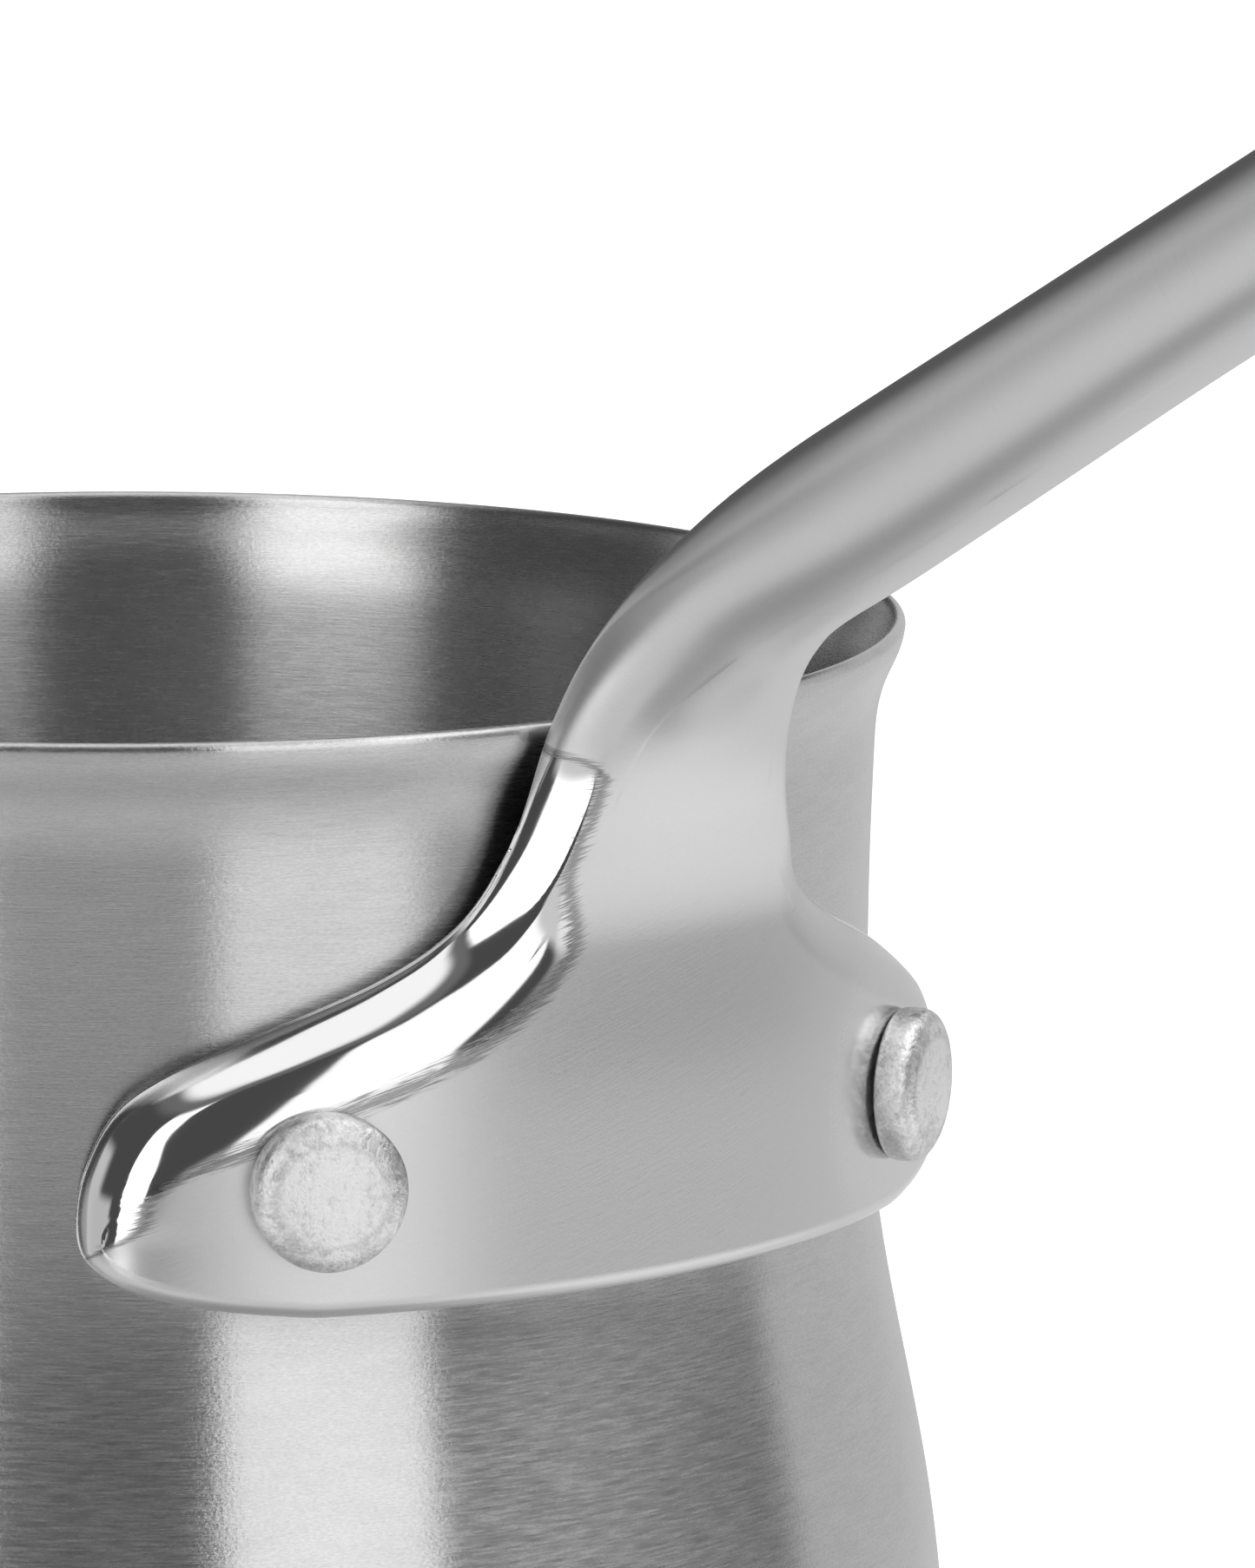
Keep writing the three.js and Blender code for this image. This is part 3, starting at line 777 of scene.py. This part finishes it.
def handle_mesh(form):
    """Bands of quads round the edge (front, side wall, back) joined to a front and a back grid."""
    run, outline = form.run, form.outline

    def where(s):
        return run[np.argmax(outline[:, 1] > s)]
    angle = np.degrees(np.arctan2(form.direction[:, 1], form.direction[:, 0]))
    first = run[np.argmax(angle > 45)]
    last = run[len(angle) - 1 - np.argmax(angle[::-1] < 135)]
    columns = 36
    spread = 1 - (1 - np.linspace(0, 1, columns + 1)) ** 1.5
    bottom = first * spread
    marks = [(first, 0.36), (where(10), 0.42), (where(30), 0.6), (where(60), 1.5),
             (where(form.paddle - 6), 0.75)]
    side = [np.array([first])]
    for (a, step), (b, _) in zip(marks, marks[1:] + [(last, 0)]):
        side.append(np.linspace(a, b, max(2, int((b - a) / step)))[1:])
    side = np.concatenate(side)
    top = run[-1] - (run[-1] - last) * spread[::-1]
    half = np.concatenate([bottom, side[1:], top[1:]])
    point = np.stack([np.interp(half, run, outline[:, k]) for k in (0, 1)], 1)
    out = np.stack([np.interp(half, run, form.outward[:, k]) for k in (0, 1)], 1)
    out[0], out[-1] = (0, -1), (0, 1)
    out /= np.linalg.norm(out, axis=1)[:, None]
    w = form.half_width(point[:, 1])
    broad = form.bands(point[:, 1], form.facing(point[:, 0], point[:, 1]))[0]
    near_end = point[:, 1] > form.end - 12
    heading = np.unwrap(np.arctan2(form.direction[:, 1], form.direction[:, 0]))
    bend = np.interp(half, run, np.convolve(np.gradient(heading, run), np.ones(41) / 41, "same"))
    depth = np.minimum(mix(1.0, 3.1, broad), np.where(near_end, 3.0, 0.6 * w))
    depth = np.minimum(depth, 0.62 / np.maximum(bend, 0.05))
    depth = np.array([depth[max(0, i - 6):i + 7].min() for i in range(len(depth))])
    soft = np.hanning(15) / np.hanning(15).sum()
    depth = np.convolve(np.pad(depth, 7, mode="edge"), soft, "valid")

    # Section of the edge band: front from the inside out, side wall, back from the outside in.
    f = np.linspace(1, 0, 90) ** 2
    count = len(half)
    inset = depth[:, None] * f[None, :]
    xs = point[:, None, 0] - inset * out[:, None, 0]
    ss = point[:, None, 1] - inset * out[:, None, 1]
    front, back = form.heights(xs, ss, inset, form.facing(xs, ss))
    wall = np.linspace(0, 1, 12)[1:-1]
    band_d = np.concatenate([inset, np.zeros((count, len(wall))), inset[:, ::-1]], 1)
    band_h = np.concatenate([front, front[:, -1:] * (1 - wall) - back[:, -1:] * wall, -back[:, ::-1]], 1)
    rows = 34
    section = np.zeros((count, rows, 2))
    for i in range(count):
        line = np.stack([band_d[i], band_h[i]], 1)
        step = np.diff(line, axis=0)
        size = np.hypot(*step.T)
        turn = np.abs(np.diff(np.unwrap(np.arctan2(step[:, 1], step[:, 0]) * (size > 1e-9))))
        turn[(size[1:] < 1e-6) | (size[:-1] < 1e-6)] = 0
        weight = size + np.minimum(0.28 * (np.append(turn, 0) + np.insert(turn, 0, 0)), 5 * size)
        q = np.concatenate([[0], np.cumsum(weight)])
        at = np.linspace(0, q[-1], rows)
        section[i] = np.stack([np.interp(at, q, line[:, k]) for k in (0, 1)], 1)
    for _ in range(2):
        section[1:-1] = (section[:-2] + 2 * section[1:-1] + section[2:]) / 4
    band_x = point[:, None, 0] - section[..., 0] * out[:, None, 0]
    band_s = point[:, None, 1] - section[..., 0] * out[:, None, 1]

    # Grid inside the innermost ring.
    inner = np.stack([band_x[:, 0], band_s[:, 0]], 1)
    low, sides, high = inner[:columns + 1], inner[columns:columns + len(side)], inner[columns + len(side) - 1:][::-1]
    u = spread
    ux0, ux1 = low[:, 0] / low[-1, 0], high[:, 0] / high[-1, 0]
    grid = np.zeros((len(side), columns + 1, 2))
    for j, (sx, sv) in enumerate(sides):
        a = 1 - smooth_step(0, 9, sv - sides[0, 1])
        b = 1 - smooth_step(0, 7, sides[-1, 1] - sv)
        uu = u + a * (ux0 - u) + b * (ux1 - u)
        grid[j, :, 0] = uu * sx
        grid[j, :, 1] = sv + a * (low[:, 1] - low[-1, 1]) + b * (high[:, 1] - high[-1, 1])
    front, back = form.heights(grid[..., 0].ravel(), grid[..., 1].ravel())
    front, back = front.reshape(grid.shape[:2]), back.reshape(grid.shape[:2])

    xs, ss, hs = [], [], []

    def add(x, s, h):
        xs.append(x)
        ss.append(s)
        hs.append(h)
        return len(xs) - 1
    ring = [[add(band_x[i, k], band_s[i, k], section[i, k, 1]) for k in range(rows)] for i in range(count)]
    ring += [[add(-band_x[i, k], band_s[i, k],
                  section[i, k, 1]) for k in range(rows)] for i in range(count - 2, 0, -1)]
    loop = len(ring)
    faces = []
    for i in range(loop):
        a, b = ring[i], ring[(i + 1) % loop]
        faces += [(a[k], b[k], b[k + 1], a[k + 1]) for k in range(rows - 1)]

    def sheet(height, row):
        ids = np.zeros((len(side), 2 * columns + 1), int)
        for j in range(len(side)):
            for c in range(-columns, columns + 1):
                i = abs(c)
                edge = None
                if i == columns:
                    edge = columns + j
                elif j == 0:
                    edge = i
                elif j == len(side) - 1:
                    edge = count - 1 - i
                if edge is not None:
                    ids[j, c + columns] = ring[edge if c >= 0 or edge in (0,
                                                                          count - 1) else loop - edge][row]
                else:
                    ids[j, c + columns] = add(math.copysign(grid[j, i, 0], c), grid[j, i, 1], height[j, i])
        return [(ids[j, c], ids[j, c + 1], ids[j + 1, c + 1], ids[j + 1, c])
                for j in range(len(side) - 1) for c in range(2 * columns)]
    faces += sheet(front, 0)
    faces += [f[::-1] for f in sheet(-back, rows - 1)]
    xs, ss, hs = np.array(xs), np.array(ss), np.array(hs)
    return form.place(xs, hs, ss) * MM, faces, xs, ss, hs


def handle_polish(form, x, s, h):
    """One on the buffed bevels and side walls, zero on the satin faces; half marks the feathered limit."""
    plate, up = form.nearest(x, s)
    broad, bevel_width, shoulder = form.bands(s, up)
    hidden = smooth_step(-6, 6, x)
    width = bevel_width + shoulder * mix(0.35, 1, smooth_step(0.0, 0.5, up)) + mix(0.5, 0.1,
                                                                                   smooth_step(18, 23, s))
    band = (0.5 - (plate - width) / 2.2) * smooth_step(0.50, 0.95, broad) * (1 - hidden)
    band = np.minimum(band, 0.5 - (s - 28.4 - 0.4 * plate + 0.35 * plate ** 2) / 1.1)
    back = np.where((h < -0.3 * form.back_height(s)) & (s < 24), 1.0, 0.0)
    return np.clip(np.maximum(band, back), 0, 1)


class CEZVE_OT_handle(bpy.types.Operator):
    """Model the riveted bracket, its stick and the paddle end with the hanging slot"""
    bl_idname = "cezve.handle"
    bl_label = "Handle"

    def execute(self, context):
        cfg, finish = context.scene.cezve_handle, context.scene.cezve_finish
        form = HandleForm(cfg)
        verts, faces, x, s, h = handle_mesh(form)
        handle = new_object("handle_cast", verts, faces)
        fix_normals(handle)
        if len(handle.data.vertices) != len(verts):
            raise RuntimeError("the handle's bands don't join cleanly")
        polish = handle_polish(form, x, s, h)
        self.cut_slot(handle, form, cfg)
        tree = point_tree(verts)
        mesh = handle.data
        near = [tree.find(v.co) for v in mesh.vertices]
        source = np.array([n[1] for n in near], int)
        fresh = np.array([n[2] > 2e-5 for n in near])
        mask = mesh.attributes.new("polish", "FLOAT", "POINT")
        mask.data.foreach_set("value", np.where(fresh, 0.9, polish[source]))
        layer = mesh.uv_layers.new(name="Handle")
        corner = np.zeros(len(mesh.loops), int)
        mesh.loops.foreach_get("vertex_index", corner)
        uv = np.stack([x[source[corner]] * MM, s[source[corner]] * MM], 1)
        layer.data.foreach_set("uv", uv.ravel())
        finish_piece(handle, handle_steel(finish, context.scene.cezve_rivet), ["handle"])
        return {"FINISHED"}

    def cut_slot(self, handle, form, cfg):
        """Cuts the rounded slot, with its mouths eased, through the paddle."""
        width, length = cfg.slot_width / MM, cfg.slot_length / MM
        middle = form.end - cfg.slot_from_end / MM
        r, run = width / 2, length / 2 - width / 2
        outline = [(r * math.cos(a), run + r * math.sin(a)) for a in np.linspace(0, math.pi, 33)]
        outline += [(r * math.cos(a), -run + r * math.sin(a)) for a in np.linspace(math.pi, 2 * math.pi,
                                                                                   33)]
        outline = np.array(outline)
        unit = outline / np.linalg.norm(outline, axis=1)[:, None]
        levels = [(5.0, 3.2), (2.3, 0.5), (2.0, 0.16), (1.75, 0.03), (1.5, 0.0), (-1.5, 0.0), (-1.75, 0.03),
                  (-2.0, 0.16),
                  (-2.3, 0.5), (-5.0, 3.2)]
        frame_here = form.place(np.zeros(2), np.array([0.0, 1.0]), np.array([middle, middle]))
        ahead = form.place(np.zeros(1), np.zeros(1), np.array([middle + 1.0]))[0]
        origin, normal = frame_here[0], frame_here[1] - frame_here[0]
        along = (ahead - origin) / np.linalg.norm(ahead - origin)
        rings = []
        for height, grow in levels:
            flat = outline + unit * grow
            rings.append(origin + flat[:, :1] * np.array([0, 1, 0]) + flat[:, 1:] * along + height * normal)
        n = len(outline)
        verts = np.concatenate(rings) * MM
        faces = [(k * n + i, k * n + (i + 1) % n, (k + 1) * n + (i + 1) % n, (k + 1) * n + i)
                 for k in range(len(levels) - 1) for i in range(n)]
        faces += [tuple(range(n)), tuple((len(levels) - 1) * n + i for i in reversed(range(n)))]
        cutter = new_object("slot_cutter", verts, faces)
        fix_normals(cutter)
        mod = handle.modifiers.new("Slot", "BOOLEAN")
        mod.operation, mod.solver, mod.object = "DIFFERENCE", "EXACT", cutter
        bpy.context.view_layer.update()
        before = len(handle.data.vertices)
        settle(handle)
        bpy.data.objects.remove(cutter, do_unlink=True)
        if len(handle.data.vertices) == before:
            raise RuntimeError("the hanging slot wasn't cut")


# ---- rivets ------------------------------------------------------------------------------------------

def rivet_pair_tree():
    """Sets two copies of a rivet at plus and minus an angle round the pot, each with its own turn."""
    tree = bpy.data.node_groups.new("Rivet Pair", "GeometryNodeTree")
    face = tree.interface
    face.new_socket(name="Rivet", in_out="INPUT", socket_type="NodeSocketGeometry")
    for label, value in (("Angle", 0.466), ("Height", 0.06885), ("Turn", RIVET_TURN)):
        face.new_socket(name=label, in_out="INPUT", socket_type="NodeSocketFloat").default_value = value
    face.new_socket(name="Material", in_out="INPUT", socket_type="NodeSocketMaterial")
    face.new_socket(name="Rivets", in_out="OUTPUT", socket_type="NodeSocketGeometry")
    t = Tree(tree)
    gin, gout = t.node("NodeGroupInput"), t.node("NodeGroupOutput")
    line = t.node("GeometryNodeMeshLine", mode="OFFSET")
    line.inputs["Count"].default_value = 2
    line.inputs["Offset"].default_value = (0, 0, 0)
    index = t.node("GeometryNodeInputIndex").outputs[0]
    sign = t.scaled(index, 2.0, -1.0)
    pair = t.node("GeometryNodeInstanceOnPoints")
    t.put(line.outputs[0], pair.inputs["Points"])
    t.put(gin.outputs["Rivet"], pair.inputs["Instance"])
    t.put(t.combine(0.0, 0.0, t.times(sign, gin.outputs["Angle"])), pair.inputs["Rotation"])
    spin = t.node("GeometryNodeRotateInstances")
    t.put(pair.outputs[0], spin.inputs["Instances"])
    t.put(t.combine(t.times(index, gin.outputs["Turn"]), 0.0, 0.0), spin.inputs["Rotation"])
    t.put(t.combine(0.0, 0.0, gin.outputs["Height"]), spin.inputs["Pivot Point"])
    real = t.node("GeometryNodeRealizeInstances")
    t.put(spin.outputs[0], real.inputs[0])
    paint = t.node("GeometryNodeSetMaterial")
    t.put(real.outputs[0], paint.inputs["Geometry"])
    t.put(gin.outputs["Material"], paint.inputs["Material"])
    t.put(paint.outputs[0], gout.inputs[0])
    return tree


class CEZVE_OT_rivets(bpy.types.Operator):
    """Set the two rivets with their outer and inner heads"""
    bl_idname = "cezve.rivets"
    bl_label = "Rivets"

    def execute(self, context):
        cfg = context.scene.cezve_rivet
        r, h, seat = cfg.head_radius / MM, cfg.head_height / MM, cfg.seat / MM
        face = [(0.0, h), (0.2 * r, h - 0.01), (0.4 * r, h - 0.04), (0.6 * r, h - 0.10),
                (r - 0.95, h - 0.21),
                (r - 0.62, h - 0.34), (r - 0.40, h - 0.47), (r - 0.22, h - 0.62), (r - 0.09, h - 0.80),
                (r - 0.02, h - 1.0),
                (r, h - 1.2), (r, 0.40), (r - 0.04, 0.20), (r - 0.14, 0.06), (r - 0.30, -0.02)]
        shank, inner_seat, inner_r, inner_h = 2.0, 40.0, 3.7, 0.95
        points = [(a, seat + b) for a, b in face] + [(shank + 0.4, seat - 0.02), (shank, seat - 0.2)]
        points += [(shank, seat - 2.0), (shank, inner_seat + 0.3), (shank + 0.2, inner_seat + 0.02)]
        points += [(inner_r - 0.25, inner_seat), (inner_r - 0.05, inner_seat - 0.18),
                   (inner_r, inner_seat - 0.38)]
        points += [(inner_r * math.cos(a), inner_seat - 0.38 - (inner_h - 0.38) * math.sin(a))
                   for a in np.linspace(0.2, math.pi / 2 - 0.12, 8)]
        points += [(0.0, inner_seat - inner_h)]
        verts, faces = lathe(points, 96)
        # A struck head is never quite round or flat.
        angle = np.arctan2(verts[:, 1], verts[:, 0])
        reach = np.hypot(verts[:, 0], verts[:, 1])
        head = verts[:, 2] > seat
        swell = 1 + 0.006 * np.sin(2 * angle + 0.7) * head + 0.004 * np.sin(3 * angle + 2) * head
        verts[:, 0] *= swell
        verts[:, 1] *= swell
        dish = 0.03 * np.sin(angle + 1.1) * (reach / r) ** 2 + 0.012 * np.sin(3 * angle) * (reach / r) ** 3
        verts[:, 2] += dish * (verts[:, 2] > seat + h * 0.6)
        lying = np.stack([verts[:, 2], verts[:, 1], -verts[:, 0]], 1) * MM
        lying[:, 2] += cfg.height
        rivets = new_object("rivets_struck", lying, faces)
        fix_normals(rivets)
        metal = rivet_steel(cfg)
        tree = rivet_pair_tree()
        mod = rivets.modifiers.new("Rivet Pair", "NODES")
        mod.node_group = tree
        keys = {s.name: s.identifier for s in tree.interface.items_tree if s.in_out == "INPUT"}
        mod[keys["Angle"]] = cfg.angle
        mod[keys["Height"]] = cfg.height
        mod[keys["Turn"]] = RIVET_TURN
        mod[keys["Material"]] = metal
        bpy.context.view_layer.update()
        settle(rivets)
        finish_piece(rivets, metal, ["rivet_left", "rivet_right"])
        return {"FINISHED"}


# ---- studio ------------------------------------------------------------------------------------------

def studio_world(cfg):
    """White for the camera, an even dome for the floor, and softboxes and dark cards for the metal."""
    world = bpy.data.worlds.new("Studio")
    bpy.context.scene.world = world
    world.use_nodes = True
    world.node_tree.nodes.clear()
    t = Tree(world.node_tree)
    away = t.node("ShaderNodeTexCoord").outputs["Generated"]
    a = cfg.azimuth
    ahead = t.vector("DOT_PRODUCT", away, (math.sin(a), -math.cos(a), 0))
    right = t.vector("DOT_PRODUCT", away, (math.cos(a), math.sin(a), 0))
    turn = t.times(t.math("ARCTAN2", right, ahead), 180 / math.pi)
    rise = t.times(t.math("ARCSINE", t.separate(away)[2]), 180 / math.pi)

    def window(value, low, high, soft):
        up = t.span(value, low - soft, low + soft)
        down = t.span(value, high - soft, high + soft)
        return t.times(up, t.minus(1.0, down))

    def card(light, az0, az1, el0, el1, value, soft_az=1.5, soft_el=4.0):
        patch = t.times(window(turn, az0, az1, soft_az), window(rise, el0, el1, soft_el))
        return t.lerp(patch, light, value)
    light = UNLIT
    for patch in STUDIO_CARDS:
        light = card(light, *patch)
    shade = t.node("ShaderNodeBackground")
    t.put(light, shade.inputs["Color"])
    white = t.node("ShaderNodeBackground")
    white.inputs["Color"].default_value = (1.1, 1.1, 1.1, 1)
    dome = t.node("ShaderNodeBackground")
    dome.inputs["Color"].default_value = (0.72, 0.72, 0.72, 1)
    soft, both, out = t.node("ShaderNodeMixShader"), t.node("ShaderNodeMixShader"), t.node("ShaderNodeOutputWorld")
    rays = t.node("ShaderNodeLightPath").outputs
    t.put(rays["Is Diffuse Ray"], soft.inputs[0])
    t.put(shade.outputs[0], soft.inputs[1])
    t.put(dome.outputs[0], soft.inputs[2])
    t.put(rays["Is Camera Ray"], both.inputs[0])
    t.put(soft.outputs[0], both.inputs[1])
    t.put(white.outputs[0], both.inputs[2])
    t.put(both.outputs[0], out.inputs["Surface"])


# Azimuth range to the right of the camera, elevation range, brightness, edge softness (degrees).
STUDIO_CARDS = [
    (-250, 250, -100, 96, 0.08, 2, 8),
    (-250, 250, 55, 64, 0.18, 2, 3),
    (46, 118, 32, 60, 2.4, 6, 4),
    (62, 110, -20, 26, 0.13, 2, 6),
    (110, 250, -20, 26, 0.62, 4, 6),
    (-250, -165, 26, 60, 0.50, 6, 6),
    (-145, -97, -20, 18, 0.68, 4, 4),
    (-104, -76, -20, 3, 0.62, 4, 4),
    (14.5, 46.0, -20, 52, 1.42, 0.8, 4),
    (-50.5, -21.5, -20, 52, 1.85, 0.8, 4),
    (-250, 250, 64, 92, 1.25, 2, 3),
    (-250, 250, -100, -12, 0.77, 2, 4),
    (56, 114, -54, -12, 1.02, 4, 4),
    (-112, 100, -100, -56, 0.40, 8, 6),
]


class CEZVE_OT_studio(bpy.types.Operator):
    """Lay the pale floor, light the studio and place the camera"""
    bl_idname = "cezve.studio"
    bl_label = "Studio"

    def execute(self, context):
        scene, cfg = context.scene, context.scene.cezve_studio
        verts, faces = lathe([(0.0, 0.0), (0.2, 0.0), (1.0, 0.0), (4.0, 0.0), (14.0, 0.0)], 96)
        floor = new_object("floor", verts, [f[::-1] for f in faces])
        m, t, shader = new_material("Studio Floor")
        place = t.node("ShaderNodeTexCoord").outputs["Object"]
        tone = t.scaled(t.noise(place, 3.0, 3.0), 0.02, 0.87)
        t.put(t.combine(tone, tone, tone), shader.inputs["Base Color"])
        shader.inputs["Roughness"].default_value = 0.8
        shader.inputs["Emission Color"].default_value = (1, 1, 1, 1)
        shader.inputs["Emission Strength"].default_value = cfg.floor
        floor.data.materials.append(m)
        floor.visible_glossy = False
        studio_world(cfg)
        data = bpy.data.cameras.new("Camera")
        camera = bpy.data.objects.new("Camera", data)
        scene.collection.objects.link(camera)
        back = -CAMERA_AHEAD.normalized()
        side = CAMERA_UP.cross(back).normalized()
        up = back.cross(side)
        rig = Matrix((side, up, back)).transposed().to_4x4()
        rig.translation = (cfg.distance * math.sin(cfg.azimuth), -cfg.distance * math.cos(cfg.azimuth),
                           RIM_TOP + cfg.rise)
        camera.matrix_world = rig
        data.lens, data.sensor_width = cfg.lens, 36
        data.clip_start, data.clip_end = 0.02, 60
        scene.camera = camera
        scene.view_settings.view_transform = "Standard"
        scene.view_settings.look = "None"
        return {"FINISHED"}


# ---- panel and registration --------------------------------------------------------------------------

class CEZVE_PT_panel(bpy.types.Panel):
    """Sizes, finishes and build steps of the pot"""
    bl_idname = "CEZVE_PT_panel"
    bl_label = "Cezve Maker"
    bl_space_type = "VIEW_3D"
    bl_region_type = "UI"
    bl_category = "Cezve"

    def draw(self, context):
        layout = self.layout
        for operator, group in STEPS:
            box = layout.box()
            box.operator(operator.bl_idname)
            settings = getattr(context.scene, group)
            for key in settings.__annotations__:
                box.prop(settings, key)
        finish = layout.box()
        for key in FinishSettings.__annotations__:
            finish.prop(context.scene.cezve_finish, key)


STEPS = [(CEZVE_OT_pot, "cezve_pot"), (CEZVE_OT_base, "cezve_pot"), (CEZVE_OT_handle, "cezve_handle"),
         (CEZVE_OT_rivets, "cezve_rivet"), (CEZVE_OT_studio, "cezve_studio")]
GROUPS = {"cezve_pot": PotSizes, "cezve_handle": HandleSizes, "cezve_rivet": RivetSizes,
          "cezve_finish": FinishSettings,
          "cezve_studio": StudioSettings}
CLASSES = [*GROUPS.values(), *(step[0] for step in STEPS), CEZVE_PT_panel]


def register():
    for cls in CLASSES:
        bpy.utils.register_class(cls)
    for name, group in GROUPS.items():
        setattr(bpy.types.Scene, name, PointerProperty(type=group))


def unregister():
    for name in GROUPS:
        delattr(bpy.types.Scene, name)
    for cls in reversed(CLASSES):
        bpy.utils.unregister_class(cls)


def main():
    register()
    bpy.ops.cezve.pot()
    bpy.ops.cezve.base()
    bpy.ops.cezve.handle()
    bpy.ops.cezve.rivets()
    bpy.ops.cezve.studio()


if __name__ == "__main__":
    main()
